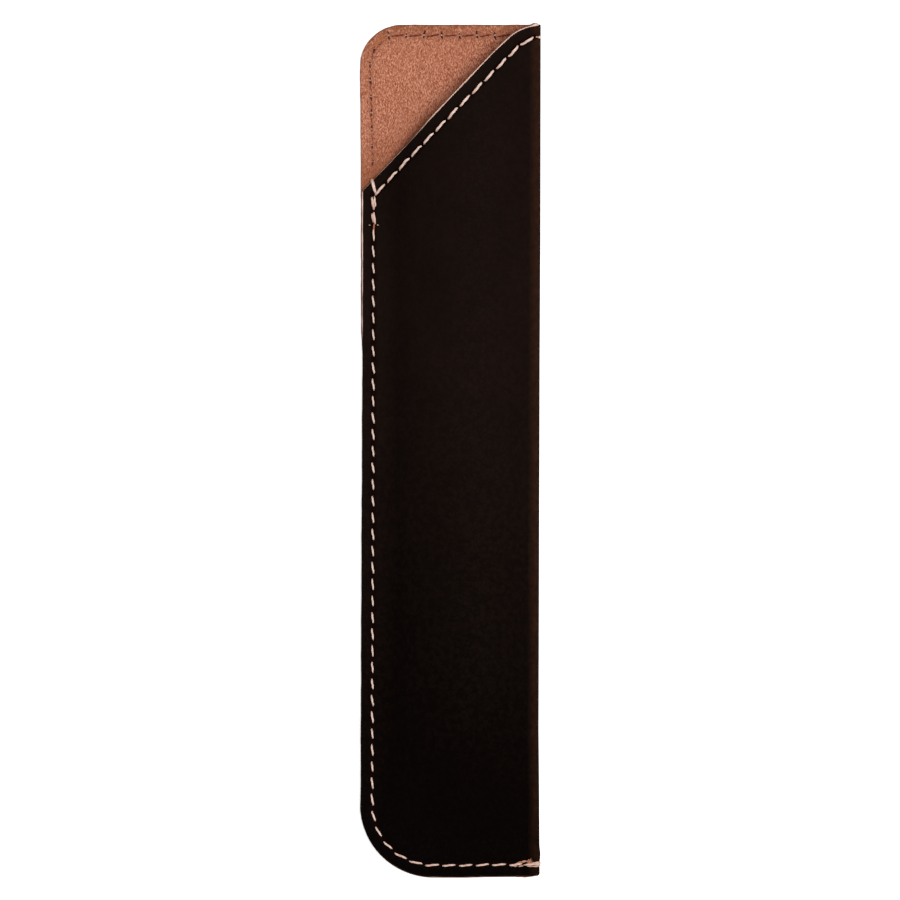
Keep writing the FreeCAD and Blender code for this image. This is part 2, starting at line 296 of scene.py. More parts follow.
def hole_places(stretches, pitch):
    """Evenly spaced needle places along a seam."""
    total = sum(length for length, _ in stretches)
    count = max(1, round(total / pitch))
    places = []
    for number in range(count + 1):
        s = total * number / count
        for length, at in stretches:
            if s <= length + rounding_slack:
                places.append(at(min(s, length)))
                break
            s -= length
    return np.array(places)


def side_seam_places():
    radius = toe_corner_radius - side_seam_inset
    centre = (side_seam_x + radius, bottom_seam_y + radius)
    end_x = right - seam_fold_clearance - side_seam_early_end
    return hole_places([
        straight((side_seam_x, side_seam_top + side_seam_lift), (side_seam_x, centre[1])),
        bend(centre, radius, math.pi, 1.5 * math.pi),
        straight((centre[0], bottom_seam_y), (end_x, bottom_seam_y)),
    ], stitch_pitch)


def front_hem_places():
    radius = mouth_shoulder_radius - hem_line_inset
    foot = np.array([left, mouth_foot_y]) + mouth_inward * hem_line_inset
    start = foot + mouth_along * ((side_seam_x - foot[0]) / mouth_along[0] + hem_start_clearance)
    shoulder = np.array([shoulder_x, shoulder_y])
    end_turn = math.acos((right - hem_last_clearance - shoulder_x) / radius)
    return hole_places([
        straight(start, shoulder - mouth_inward * radius),
        bend(shoulder, radius, math.pi / 2 + mouth_angle, end_turn),
    ], hem_stitch_pitch)


def tab_hem_places():
    """Holes of the tab's row, which turns its corner in one long stitch."""
    row_y = top - hem_inset
    start = (right - hem_fold_clearance + tab_row_reach, row_y)
    turn_start = (left + tab_turn_reach, row_y)
    turn_end = (left + tab_turn_inset, top - tab_turn_drop)
    side_start = (left + tab_side_inset, top - tab_corner_radius)
    side_end = (left + tab_side_end_inset, lip_place[1] + tab_hem_clearance)
    along_top = hole_places([straight(start, turn_start)], tab_stitch_pitch)
    down_side = hole_places([straight(turn_end, side_start), straight(side_start, side_end)], tab_side_pitch)
    return np.vstack([along_top, down_side])


def line_of(places):
    """Points close together along a row of holes."""
    steps = np.linspace(0, 1, points_per_stitch, endpoint=False)
    between = [a + (b - a) * t for a, b in zip(places, places[1:]) for t in steps]
    return np.array(between + [places[-1]])


side_holes = side_seam_places()
hem_holes = front_hem_places()
tab_holes = tab_hem_places()
side_line = line_of(np.vstack([side_holes, [[right, bottom_seam_y]]]))
hem_line = line_of(hem_holes)
tab_line = line_of(np.vstack([tab_holes, [lip_place]]))


def nearness(x, y, places, width):
    """1 at the nearest of the places, falling off smoothly over a width."""
    nearest = np.full(x.shape, np.inf)
    for place in places:
        nearest = np.minimum(nearest, np.hypot(x - place[0], y - place[1]))
    return np.exp(-(nearest / width) ** 2)


# Weight, radians per millimetre and seed's share of each wave in an edge
waver_waves = ((1.0, 0.31, 1.0), (1.0, 0.83, 2.1), (0.6, 1.9, 3.7))


def waver(s, seed):
    """A gentle uneven wave along an edge."""
    total = sum(weight * np.sin(s / mm * rate + shift * seed) for weight, rate, shift in waver_waves)
    return total / sum(weight for weight, _, _ in waver_waves)


# Making of the sheets

Sheet = namedtuple("Sheet", "depth thickness mouth_inset rim front_draw columns rows seed")
row_crowding = 0.55
sheet_smooth_angle = math.radians(50)


def deselect_all():
    bpy.ops.object.select_all(action="DESELECT")


def row_places(count):
    """Places from 0 to 1 that lie closer together towards both ends."""
    t = np.linspace(0, 1, count)
    return t - (1 - row_crowding) * np.sin(2 * math.pi * t) / (2 * math.pi)


def across_places(far, toe_count, middle_count, fold_count):
    """Places across one panel from the sewn edge to the fold, closest where these turn."""
    toe_turn = np.linspace(0, math.pi / 2, toe_count)
    fold_turn = np.linspace(0, math.pi / 2, fold_count)
    at_toe = left + toe_radius * (1 - np.cos(toe_turn))
    at_fold = far - fold_radius * (1 - np.cos(fold_turn))
    between = np.linspace(at_toe[-1], at_fold[-1], middle_count)
    return np.concatenate([at_toe, between[1:-1], at_fold[::-1]])


def side_share(x):
    """1 at the sewn side, falling to 0 a little way in."""
    return 1 - smooth_step((x - left) / edge_fade)


def off_fold_share(x):
    """0 at the fold, rising to 1 a little way off it."""
    return smooth_step((right - x) / edge_fade)


def lip_share(x):
    """How much of the base cloth shows along the mouth, more towards the fold."""
    return lip_least + (1 - lip_least) * smooth_step((x - lip_fade_from) / (lip_fade_to - lip_fade_from))


def peak_of(sheet, x):
    """Rise of the inner sheets at the fold's end of the mouth."""
    peak = corner_peak * np.exp(-((x - corner_peak_x) / corner_peak_width) ** 2)
    return peak * (sheet.mouth_inset <= 0)


def front_panel(sheet, across, along):
    """Points of the front's outer face, from the sewn side to the fold."""
    off_fold = off_fold_share(across)
    inset = sheet.mouth_inset * lip_share(across) - np.interp(across, mouth_bow_x, mouth_bow)
    drawn_in = across + np.interp(corner_y, draw_y, sheet.front_draw) * side_share(across)
    mouth_y = mouth_edge(drawn_in, inset) + peak_of(sheet, across)
    mouth_y = mouth_y + edge_waver * waver(across, sheet.seed) * off_fold
    foot_y = bottom_edge(across) + edge_waver * waver(across, sheet.seed + 1) * off_fold
    y = foot_y + (mouth_y - foot_y) * along
    draw = np.interp(y, draw_y, sheet.front_draw) + edge_waver * waver(y, sheet.seed + 2)
    x = across + draw * side_share(across)
    return x, y, front_height(x, y, sheet.depth)


def back_panel(sheet, across, along):
    """Points of the back's outer face, from the fold to the sewn side."""
    off_fold = off_fold_share(across)
    frayed = smooth_step((across - frayed_from) / frayed_ease)
    frayed = frayed * smooth_step((frayed_to - across) / frayed_ease)
    ragged = frayed_share * frayed * (1 + frayed_waver * waver(across * 5, sheet.seed))
    foot_y = bottom_edge(across) - sheet.rim * (1 + ragged) * off_fold
    tab_y = tab_edge(across) + peak_of(sheet, across)
    tab_y = tab_y + edge_waver * waver(across * 2, sheet.seed + 4) * off_fold
    y = foot_y + (tab_y - foot_y) * along
    draw = np.interp(y, draw_y, back_draw) + edge_waver * waver(y * 2, sheet.seed + 3)
    x = across + draw * side_share(across)
    return x, y, back_height(x, y, sheet.depth)


def press_front(x, y, z):
    """The front pressed in by its seams, most of all at the needle holes."""
    seam = np.maximum(nearness(x, y, side_line, seam_press_width), nearness(x, y, hem_line, seam_press_width))
    holes = nearness(x, y, np.vstack([side_holes, hem_holes]), hole_press_width)
    return z - seam_press * seam - hole_press * holes, seam, holes


def press_back(x, y, z, depth):
    """The back pressed in by its seams, and the sheets of the tab squeezed together."""
    seam = np.maximum(nearness(x, y, side_line, seam_press_width), nearness(x, y, tab_line, seam_press_width))
    holes = nearness(x, y, np.vstack([side_holes, tab_holes, [lip_place]]), hole_press_width)
    on_tab = smooth_step((y - mouth_edge(x, 0)) / hem_inset + 1)
    squeeze = 1 - tab_squeeze * on_tab * depth / lining_depth
    return z + squeeze * back_groove * np.maximum(seam, holes), seam, holes


def edge_distance(x, y, sewn_x):
    """How far each point is from the cut bottom, the cut top and the sewn side."""
    return np.maximum(np.minimum(np.minimum(y - y[0], y[-1] - y), x - sewn_x), 0)


def mouth_shade(x, y):
    """1 on the tab next to the low part of the mouth, falling off away from it."""
    over_mouth = np.maximum(y - mouth_edge(x, 0), 0) * mouth_along[0]
    low_down = 1 - smooth_step((x - mouth_shade_from) / (mouth_shade_to - mouth_shade_from))
    return np.exp(-over_mouth / mouth_shade_reach) * low_down


def pulled_fold(x, y):
    """The fold swells beside the end of the bottom seam, and the seam nips it in."""
    at_fold = smooth_step((x - right + fold_reach) / fold_reach)
    bulge = fold_bulge * np.exp(-((y - fold_bulge_y) / fold_bulge_length) ** 2)
    nip = fold_nip * np.exp(-((y - bottom_seam_y) / fold_nip_length) ** 2)
    return x + (bulge - nip) * at_fold


def sheet_surface(sheet):
    """Points of a sheet's outer face, in rows along the sleeve, and values for its finish."""
    across = across_places(right - sheet.depth, *sheet.columns)
    back_across = across[::-1][1:]
    along = row_places(sheet.rows)[:, None]
    front_x, front_y, front_z = front_panel(sheet, across, along)
    back_x, back_y, back_z = back_panel(sheet, back_across, along)
    front_z, front_seam, front_holes = press_front(front_x, front_y, front_z)
    back_z, back_seam, back_holes = press_back(back_x, back_y, back_z, sheet.depth)
    front_edge = edge_distance(front_x, front_y, front_x[:, :1])
    back_edge = edge_distance(back_x, back_y, back_x[:, -1:])
    below_top = back_y[-1] - back_y
    round_fold = np.hstack([across, 2 * right - back_across]) / mm
    x = np.hstack([front_x, back_x])
    y = np.hstack([front_y, back_y])
    z = np.hstack([front_z, back_z])
    values = {
        "hole": np.hstack([front_holes, back_holes]),
        "seam": np.hstack([front_seam, back_seam]),
        "cut": np.exp(-np.hstack([front_edge, back_edge]) / cut_reach),
        "hem": np.hstack([0 * front_y, np.exp(-below_top / top_margin_reach)]),
        "fold": round_fold + 0 * x,
        "shade": np.hstack([0 * front_x, mouth_shade(back_x, back_y)]),
    }
    return np.stack([pulled_fold(x, y), y, z], 2), values


def out_of_square(points):
    """Points of the true sleeve moved to where the uneven sewn one has them."""
    x, y = points[..., 0], points[..., 1]
    to_fold = np.clip((x - left) / sleeve_width, 0, 1)
    lean = to_fold * np.interp(y, lean_y, fold_lean) + (1 - to_fold) * np.interp(y, lean_y, side_lean)
    lift = np.interp(x, lift_x, bottom_lift) * (1 - smooth_step((y - toe_start) / lift_run))
    return points + np.stack([lean, lift, 0 * lean], -1)


def make_sheet(name, sheet):
    """One bonded sheet: a grid laid over its outer face, then thickened inwards."""
    points, values = sheet_surface(sheet)
    rows, columns = points.shape[:2]
    deselect_all()
    bpy.ops.mesh.primitive_grid_add(x_subdivisions=columns - 1, y_subdivisions=rows - 1, size=1)
    made = bpy.context.object
    made.name = name
    mesh = made.data
    mesh.name = name
    flat = np.zeros(len(mesh.vertices) * 3)
    mesh.vertices.foreach_get("co", flat)
    flat = flat.reshape(-1, 3)
    column = np.rint((flat[:, 0] + 0.5) * (columns - 1)).astype(int)
    row = np.rint((flat[:, 1] + 0.5) * (rows - 1)).astype(int)
    mesh.vertices.foreach_set("co", out_of_square(points[row, column]).ravel())
    for key, value in values.items():
        layer = mesh.attributes.new(key, "FLOAT", "POINT")
        layer.data.foreach_set("value", value[row, column].astype(np.float32))
    mesh.update()
    wall = made.modifiers.new("wall", "SOLIDIFY")
    wall.thickness = sheet.thickness
    wall.offset = -1
    bpy.ops.object.modifier_apply(modifier="wall")
    bpy.ops.object.shade_smooth_by_angle(angle=sheet_smooth_angle)
    return made


# Making of the thread

ring_count = 13
ply_sides = 7
slope_step = 0.05 * mm
thread_smooth_angle = math.radians(60)

# Shares of a strand's radius that its plies take, and how much stitches vary
ply_offset = 0.5
ply_flattening = 0.8
ply_width = 0.58
gap_change = 0.15
slant_change = 0.35
radius_change = 0.07
tone_change = 0.3

# Numbers of a well-known hash
chance_rate = 12.9898
chance_gain = 43758.5453


def chance_of(number):
    """An uneven number from -1 to 1 that is the same on every run."""
    return 2 * ((math.sin(chance_rate * number) * chance_gain) % 1) - 1


def surface_frames(places, height, outward):
    """Seats of needle holes on a face, with the unit way out of it."""
    x, y = places[:, 0], places[:, 1]
    seat = np.stack([x, y, height(x, y)], 1)
    slope_x = (height(x + slope_step, y) - height(x - slope_step, y)) / (2 * slope_step)
    slope_y = (height(x, y + slope_step) - height(x, y - slope_step)) / (2 * slope_step)
    normal = np.stack([-slope_x, -slope_y, np.ones(len(x))], 1) * outward
    return seat, normal / np.linalg.norm(normal, axis=1)[:, None]


def ply_template():
    """One ply as a plain tube of length 1 and radius 1, drawn out ring by ring."""
    deselect_all()
    bpy.ops.mesh.primitive_circle_add(
        vertices=ply_sides, radius=1, fill_type="NGON", rotation=(0, math.pi / 2, 0))
    ply = bpy.context.object
    bpy.ops.object.transform_apply(location=True, rotation=True, scale=True)
    bpy.ops.object.mode_set(mode="EDIT")
    bpy.ops.mesh.select_all(action="SELECT")
    for _ in range(ring_count - 1):
        bpy.ops.mesh.extrude_region_move(TRANSFORM_OT_translate={"value": (1 / (ring_count - 1), 0, 0)})
    bpy.ops.mesh.select_all(action="SELECT")
    bpy.ops.mesh.normals_make_consistent(inside=False)
    bpy.ops.object.mode_set(mode="OBJECT")
    points = np.array([v.co for v in ply.data.vertices])
    # the tool's own order of faces changes from run to run
    faces = sorted(list(p.vertices) for p in ply.data.polygons)
    bpy.data.objects.remove(ply)
    return points, faces


ply_points, ply_faces = ply_template()
ply_ring = np.rint(ply_points[:, 0] * (ring_count - 1)).astype(int)
ply_around = np.arctan2(ply_points[:, 2], ply_points[:, 1])
ply_reach = np.hypot(ply_points[:, 1], ply_points[:, 2])
ring_share = np.linspace(0, 1, ring_count)
from_middle = np.abs(2 * ring_share - 1)
upward = np.array([0, 0, 1.0])


def tapered(radius, share, power):
    """A radius at each ring that gets thinner towards both ends."""
    return radius * (1 - share * from_middle ** power)


def smooth_path(keys):
    """Centreline of a strand through a few points, as a Catmull-Rom curve."""
    keys = np.array(keys, float)
    place = ring_share * (len(keys) - 1)
    first = np.clip(place.astype(int), 0, len(keys) - 2)
    t = (place - first)[:, None]
    ends = np.vstack([2 * keys[0] - keys[1], keys, 2 * keys[-1] - keys[-2]])
    a, b, c, d = (ends[first + step] for step in range(4))
    return b + 0.5 * t * (c - a + t * (2 * a - 5 * b + 4 * c - d + t * (3 * (b - c) + d - a)))


def route(origin, offsets):
    """Centreline of a strand through points given in millimetres from a place."""
    return smooth_path(np.array(origin) + np.array(offsets) * mm)


class Thread:
    """The strands of one thread piece."""

    def __init__(self):
        self.points = []
        self.lay = []
        self.tone = []
        self.faces = []
        self.count = 0

    def strand(self, centre, up, radius, plies, turns, phase, tone=0.0):
        """Plies twisted about a centreline, with a radius at each ring."""
        along = np.gradient(centre, axis=0)
        along /= np.linalg.norm(along, axis=1)[:, None]
        side = np.cross(up, along)
        side /= np.linalg.norm(side, axis=1)[:, None]
        over = np.cross(along, side)
        steps = np.linalg.norm(np.diff(centre, axis=0), axis=1)
        walked = np.concatenate([[0], np.cumsum(steps)]) / mm
        out = ply_offset * radius if plies > 1 else 0 * radius
        wide = (ply_width if plies > 1 else 1.0) * radius[ply_ring] * ply_reach
        for ply in range(plies):
            turn = phase + 2 * math.pi * (ply / plies + turns * ring_share)
            core = centre + side * (out * np.cos(turn))[:, None]
            core = core + over * (ply_flattening * out * np.sin(turn))[:, None]
            place = core[ply_ring]
            place = place + side[ply_ring] * (wide * np.cos(ply_around))[:, None]
            place = place + over[ply_ring] * (wide * np.sin(ply_around))[:, None]
            self.points.append(place)
            self.lay.append(np.stack([walked[ply_ring], np.cos(ply_around), np.sin(ply_around)], 1))
            self.tone.append((tone + 0 * ring_share)[ply_ring])
            self.faces += [[index + self.count for index in face] for face in ply_faces]
            self.count += len(place)

    def stitch(self, start, end, normal, look, slant, number):
        """One stitch that bows from hole to hole, leans over the seam line and dives in at both ends."""
        chance = chance_of(number)
        way = (end - start) / np.linalg.norm(end - start)
        gap = look["gap"] * (1 + gap_change * chance_of(number + 0.3))
        start, end = start + way * gap, end - way * gap
        side = np.cross(normal, way)
        height = (look["rise"] + look["dip"]) * (1 - from_middle ** 6) - look["dip"]
        sway = slant * (1 + slant_change * chance) * np.sin((2 * ring_share - 1) * math.pi / 2)
        centre = start + np.outer(ring_share, end - start) + np.outer(sway, side) + np.outer(height, normal)
        radius = tapered(look["radius"] * (1 + radius_change * chance), look["taper"], 4)
        tone = np.interp(ring_share, (0, 0.5, 1), look["tone"]) * (1 + tone_change * chance_of(number + 0.7))
        self.strand(centre, normal, radius, look["plies"], look["turns"], 3 * chance, tone)

    def row(self, places, height, outward, look, slant, seed=0):
        seats, normals = surface_frames(places, height, outward)
        for number, (start, end) in enumerate(zip(seats, seats[1:])):
            normal = normals[number] + normals[number + 1]
            normal = normal / np.linalg.norm(normal)
            self.stitch(start, end, normal, look, slant, number + seed)

    def made(self, name):
        mesh = bpy.data.meshes.new(name)
        mesh.from_pydata(out_of_square(np.vstack(self.points)).tolist(), [], self.faces)
        layer = mesh.attributes.new("lay", "FLOAT_VECTOR", "POINT")
        layer.data.foreach_set("vector", np.vstack(self.lay).astype(np.float32).ravel())
        layer = mesh.attributes.new("tone", "FLOAT", "POINT")
        layer.data.foreach_set("value", np.concatenate(self.tone).astype(np.float32))
        thread = bpy.data.objects.new(name, mesh)
        bpy.context.scene.collection.objects.link(thread)
        deselect_all()
        bpy.context.view_layer.objects.active = thread
        thread.select_set(True)
        bpy.ops.object.shade_smooth_by_angle(angle=thread_smooth_angle)
        return thread


# Materials

class Finish:
    """A material or a world, with short ways of adding to its nodes."""

    def __init__(self, owner):
        self.owner = owner
        owner.use_nodes = True
        self.nodes = owner.node_tree.nodes
        self.links = owner.node_tree.links

    def join(self, node, inputs):
        """Inputs of a node set to values, or joined to other nodes."""
        for socket, value in inputs.items():
            if isinstance(value, bpy.types.NodeSocket):
                self.links.new(value, node.inputs[socket])
            else:
                node.inputs[socket].default_value = value

    def node(self, kind, output, inputs, **settings):
        node = self.nodes.new("ShaderNode" + kind)
        for name, value in settings.items():
            setattr(node, name, value)
        self.join(node, inputs)
        return node.outputs[output]

    def camera_ray(self):
        return self.node("LightPath", "Is Camera Ray", {})

    def place(self):
        return self.node("TexCoord", "Object", {})

    def along(self, place):
        """How far along the sleeve a place is."""
        return self.node("SeparateXYZ", "Y", {0: place})

    def attribute(self, name, output="Fac"):
        return self.node("Attribute", output, {}, attribute_name=name)

    def stretched(self, place, scale, turn):
        """Coordinates drawn out and turned."""
        return self.node("Mapping", 0, {"Scale": scale, "Rotation": (0, 0, turn), "Vector": place})

    def ruffled(self, place, scale, amount):
        """Coordinates pushed about by a noise."""
        push = self.node("TexNoise", "Color", {"Scale": scale, "Vector": place})
        centred = self.node("VectorMath", 0, {0: push, 1: (0.5, 0.5, 0.5)}, operation="SUBTRACT")
        inputs = {0: centred, 1: (amount, amount, amount), 2: place}
        return self.node("VectorMath", 0, inputs, operation="MULTIPLY_ADD")

    def noise(self, place, scale, detail=3.0, roughness=0.55):
        inputs = {"Scale": scale, "Detail": detail, "Roughness": roughness, "Vector": place}
        return self.node("TexNoise", "Fac", inputs)

    def ranged(self, value, low, high, to_low=0.0, to_high=1.0):
        """A value brought from one range to another, held at its ends."""
        inputs = {"Value": value, "From Min": low, "From Max": high, "To Min": to_low, "To Max": to_high}
        return self.node("MapRange", "Result", inputs)

    def product(self, first, second):
        return self.node("Math", 0, {0: first, 1: second}, operation="MULTIPLY")

    def blend(self, share, first, second):
        """A colour between two, by a share that a node gives."""
        first, second = ((*value, 1) if isinstance(value, tuple) else value for value in (first, second))
        return self.node("Mix", 2, {"Factor": share, 6: first, 7: second}, data_type="RGBA")

    def bump(self, height, strength, distance):
        inputs = {"Strength": strength, "Distance": distance, "Height": height}
        return {"Normal": self.node("Bump", "Normal", inputs)}

    def shaded(self, colour, roughness, gloss, others):
        """The material, once its shader's inputs are set."""
        inputs = {"Base Color": colour, "Roughness": roughness, "Specular IOR Level": gloss, **others}
        self.join(self.nodes["Principled BSDF"], inputs)
        return self.owner


def new_finish(name):
    return Finish(bpy.data.materials.new(name))


def leatherette():
    brown = (0.0082, 0.0044, 0.0034)
    lighter_brown = (0.0101, 0.0054, 0.004)
    unreflected_toe_black = (0.0009, 0.0005, 0.0004)
    crease_shade_black = (0.0008, 0.0005, 0.0004)
    mottle_black = (0.0014, 0.0008, 0.0006)
    fold_highlight_brown = (0.031, 0.0115, 0.0056)
    seam_groove_shade = (0.0035, 0.0014, 0.001)
    hole_shade_red = (0.006, 0.0014, 0.0007)
    cut_brown = (0.02, 0.008, 0.004)
    patch_scale = 90
    crease_scale = 420
    highlight_patch_scale = 700
    mottle_scale = 800
    ruffle_scale = 900
    grain_scale = 1000
    ruffle = 0.9 * mm

    finish = new_finish("dark leatherette")
    place = finish.place()
    along = finish.along(place)
    patches = finish.ranged(finish.noise(place, patch_scale, 4), 0.35, 0.7)
    colour = finish.blend(patches, brown, lighter_brown)
    # painted reflection: the skin goes near black towards the toe and is lighter towards the mouth, where it
    # mirrors a bright area above
    toe = finish.ranged(along, 5 * mm, -90 * mm, 0.0, 0.95)
    colour = finish.blend(toe, colour, unreflected_toe_black)

    # pebble grain, which shows more towards the toe, with painted shade in its creases
    grain_inputs = {"Scale": grain_scale, "Vector": finish.ruffled(place, ruffle_scale, ruffle)}
    from_crease = finish.node("TexVoronoi", "Distance", grain_inputs, feature="DISTANCE_TO_EDGE")
    crease_shade = finish.ranged(from_crease, 0.0, 0.16, 0.55, 0.0)
    deeper = finish.ranged(along, 25 * mm, -85 * mm, 0.16, 0.6)
    colour = finish.blend(finish.product(crease_shade, deeper), colour, crease_shade_black)
    mottle = finish.ranged(finish.noise(place, mottle_scale, 3, 0.6), 0.43, 0.57)
    colour = finish.blend(finish.product(mottle, deeper), colour, mottle_black)

    # painted highlight: brown along the fold's curve, patchy and fading towards the toe
    fold = finish.ranged(finish.attribute("fold"), 15.0, 16.4)
    highlight_patches = finish.ranged(finish.noise(place, highlight_patch_scale, 3), 0.3, 0.75, 0.35, 1.0)
    painted_light_ramp = finish.ranged(along, -20 * mm, -85 * mm, 1.0, 0.45)
    fold_highlight = finish.product(finish.product(fold, highlight_patches), painted_light_ramp)
    colour = finish.blend(fold_highlight, colour, fold_highlight_brown)

    # painted shade: darker in the seam's pressed groove
    seam = finish.ranged(finish.attribute("seam"), 0.3, 0.85, 0.0, 0.8)
    colour = finish.blend(seam, colour, seam_groove_shade)
    # painted shade: dark red in the needle holes
    hole = finish.ranged(finish.attribute("hole"), 0.3, 0.9)
    colour = finish.blend(hole, colour, hole_shade_red)
    cut = finish.ranged(finish.attribute("cut"), 0.55, 1.0)
    colour = finish.blend(cut, colour, cut_brown)
    creases = finish.noise(place, crease_scale, 5)
    height = finish.node("Math", 0, {0: from_crease, 1: creases}, operation="ADD")
    roughness = finish.ranged(from_crease, 0.0, 0.3, 0.75, 0.55)
    return finish.shaded(colour, roughness, 0.007, finish.bump(height, 0.25, 0.1 * mm))


def suede():
    nap_dark = (0.225, 0.045, 0.013)
    nap_light = (0.745, 0.345, 0.225)
    cloud_tan = (0.45, 0.165, 0.092)
    speck_brown = (0.215, 0.046, 0.016)
    fibre_tan = (0.45, 0.168, 0.096)
    margin_brown = (0.2, 0.066, 0.025)
    low_tab_shade_brown = (0.24, 0.075, 0.031)
    shade_brown = (0.17, 0.045, 0.017)
    seam_groove_shade = (0.26, 0.085, 0.05)
    cut_brown = (0.16, 0.045, 0.022)
    cloud_scale = 160
    mottle_scale = 1500
    speck_scale = 4400
    nap_scale = 6000
    fibre_scale = 15000
    nap_stretch = (1.6, 0.42, 1.0)
    fibre_stretch = (1.0, 0.22, 1.0)
    nap_turn = 0.12

    finish = new_finish("tan suede")
    place = finish.place()
    brushed = finish.stretched(place, nap_stretch, nap_turn)
    nap = finish.noise(brushed, nap_scale, 3, 0.7)
    colour = finish.blend(finish.ranged(nap, 0.43, 0.57), nap_dark, nap_light)
    cloud = finish.ranged(finish.noise(place, cloud_scale, 4), 0.35, 0.75, 0.0, 0.3)
    colour = finish.blend(cloud, colour, cloud_tan)
    specks = finish.ranged(finish.noise(brushed, speck_scale, 2), 0.53, 0.63, 0.0, 0.95)
    colour = finish.blend(specks, colour, speck_brown)
    fine = finish.stretched(place, fibre_stretch, nap_turn)
    fibres = finish.ranged(finish.noise(fine, fibre_scale, 2, 0.6), 0.4, 0.6, 0.0, 0.2)
    colour = finish.blend(fibres, colour, fibre_tan)

    # darker along the tab's top margin, where the nap is pressed, with painted shade there; painted shade low
    # on the tab; painted shadow of the front's lip next to the mouth
    mottle = finish.ranged(finish.noise(place, mottle_scale, 3), 0.35, 0.6)
    colour = finish.blend(finish.product(finish.attribute("hem"), mottle), colour, margin_brown)
    painted_light_ramp = finish.ranged(finish.along(place), 62 * mm, 50 * mm, 0.0, 0.55)
    colour = finish.blend(painted_light_ramp, colour, low_tab_shade_brown)
    shade = finish.ranged(finish.attribute("shade"), 0.0, 1.0, 0.0, 0.7)
    colour = finish.blend(shade, colour, shade_brown)

    # painted shade: darker in the seam's pressed groove
    seam = finish.ranged(finish.attribute("seam"), 0.2, 0.95, 0.0, 0.42)
    colour = finish.blend(seam, colour, seam_groove_shade)
    cut = finish.ranged(finish.attribute("cut"), 0.45, 0.95, 0.0, 0.85)
    colour = finish.blend(cut, colour, cut_brown)
    sheen = {"Sheen Weight": 0.05, "Sheen Roughness": 0.5}
    return finish.shaded(colour, 0.95, 0.1, finish.bump(nap, 0.5, 0.12 * mm) | sheen)


def base_cloth():
    shaded_pink = (0.76, 0.47, 0.38)
    pale_pink = (0.96, 0.69, 0.59)
    knit_scale = 3200

    finish = new_finish("pale base cloth")
    knit = finish.noise(finish.place(), knit_scale, 4)
    colour = finish.blend(finish.ranged(knit, 0.3, 0.7), shaded_pink, pale_pink)
    return finish.shaded(colour, 0.9, 0.1, finish.bump(knit, 0.6, 0.1 * mm))


def twisted_thread(name, dark, light, stain_and_shade):
    fibre_scale = 2.4

    finish = new_finish(name)
    fibres = finish.noise(finish.attribute("lay", "Vector"), fibre_scale, 4)
    colour = finish.blend(finish.ranged(fibres, 0.3, 0.7), dark, light)
    # the tone attribute lays stains, and painted shade on the stitches, in the darker stain colour
    colour = finish.blend(finish.attribute("tone"), colour, stain_and_shade)
    return finish.shaded(colour, 0.7, 0.15, finish.bump(fibres, 0.4, 0.05 * mm))


def pale_thread():
    return twisted_thread(
        "pale thread", dark=(0.64, 0.43, 0.35), light=(0.95, 0.75, 0.66), stain_and_shade=(0.43, 0.14, 0.058))


def rust_thread():
    return twisted_thread(
        "rust thread", dark=(0.09, 0.016, 0.007), light=(0.21, 0.044, 0.018), stain_and_shade=(0.025, 0.007, 0.004))


# The pieces

bobbin_sink = 0.1 * mm
side_slant = 0.12 * mm
hem_slant = 0.1 * mm
pressed_slant = 0.16 * mm
corner_fibre_count = 52
tuft_fibre_count = 24
along_sleeve = np.array([0, 1.0, 0])
over_fold_up = np.array([0.5, 0, 0.87])
over_fold_rise = 0.05 * mm

# Shift of the first stitches of the side, and of the second strand that is sewn over them
first_shift = np.array([0.3, 0.32, 0.12]) * mm
doubled_shift = np.array([[-0.1, -0.4], [-0.06, -0.3], [-0.1, 0.4]]) * mm
lip_shift = np.array([0.42, 0.0]) * mm

cover_columns = (30, 42, 12)
inner_columns = (26, 34, 12)
cover_rows = 300
inner_rows = 240
cover_skin = make_sheet("cover_skin", Sheet(
    0.0, cover_thickness, cloth_lip, 0.0, skin_draw, cover_columns, cover_rows, 1.0))
base_cloth_sheet = make_sheet("base_cloth_sheet", Sheet(
    cover_thickness, base_cloth_thickness, 0.0, 0.0, cloth_draw, inner_columns, inner_rows, 2.0))
lining_suede = make_sheet("lining_suede", Sheet(
    lining_depth, lining_thickness, -lining_reveal, lining_rim, cloth_draw, inner_columns, inner_rows, 2.0))

# each look's tone, at a stitch's start, middle and end, is painted shade: the thread's darker stain colour
# laid over the stitch's dimmer parts
needle_look = dict(
    gap=0.56 * mm, rise=0.22 * mm, dip=0.24 * mm, radius=0.18 * mm, taper=0.42, plies=3, turns=0.6,
    tone=(0.15, 0.0, 0.15))
bottom_look = dict(needle_look, gap=0.38 * mm, radius=0.2 * mm, tone=(0.0, 0.35, 0.0))
hem_look = dict(needle_look, gap=0.32 * mm, radius=0.255 * mm, tone=(0.4, 0.08, 0.0))
backtack_look = dict(needle_look, gap=0.42 * mm, radius=0.25 * mm, rise=0.3 * mm, tone=(0.2, 0.3, 0.5))
pressed_look = dict(
    gap=0.35 * mm, rise=0.02 * mm, dip=0.2 * mm, radius=0.17 * mm, taper=0.7, plies=2, turns=1.4,
    tone=(0.0, 0.0, 0.0))
faint_look = dict(pressed_look, gap=0.7 * mm, rise=-0.08 * mm, radius=0.11 * mm)

# Faces that the threads lie on, apart from the front's outside
inside_back = partial(back_height, depth=sheet_thickness - bobbin_sink)
outside_back = partial(back_height, depth=back_groove)
inside_front = partial(front_height, depth=sheet_thickness)


def side_needle_stitches():
    thread = Thread()
    places = side_holes.copy()
    places[:3, 0] += first_shift
    toe = int(np.argmax(places[:, 1] < bottom_seam_y + bottom_row_rise))
    thread.row(places[:toe + 1], front_height, 1, needle_look, side_slant)
    thread.row(places[toe:], front_height, 1, bottom_look, side_slant, 45)
    return thread.made("side_needle_stitches")


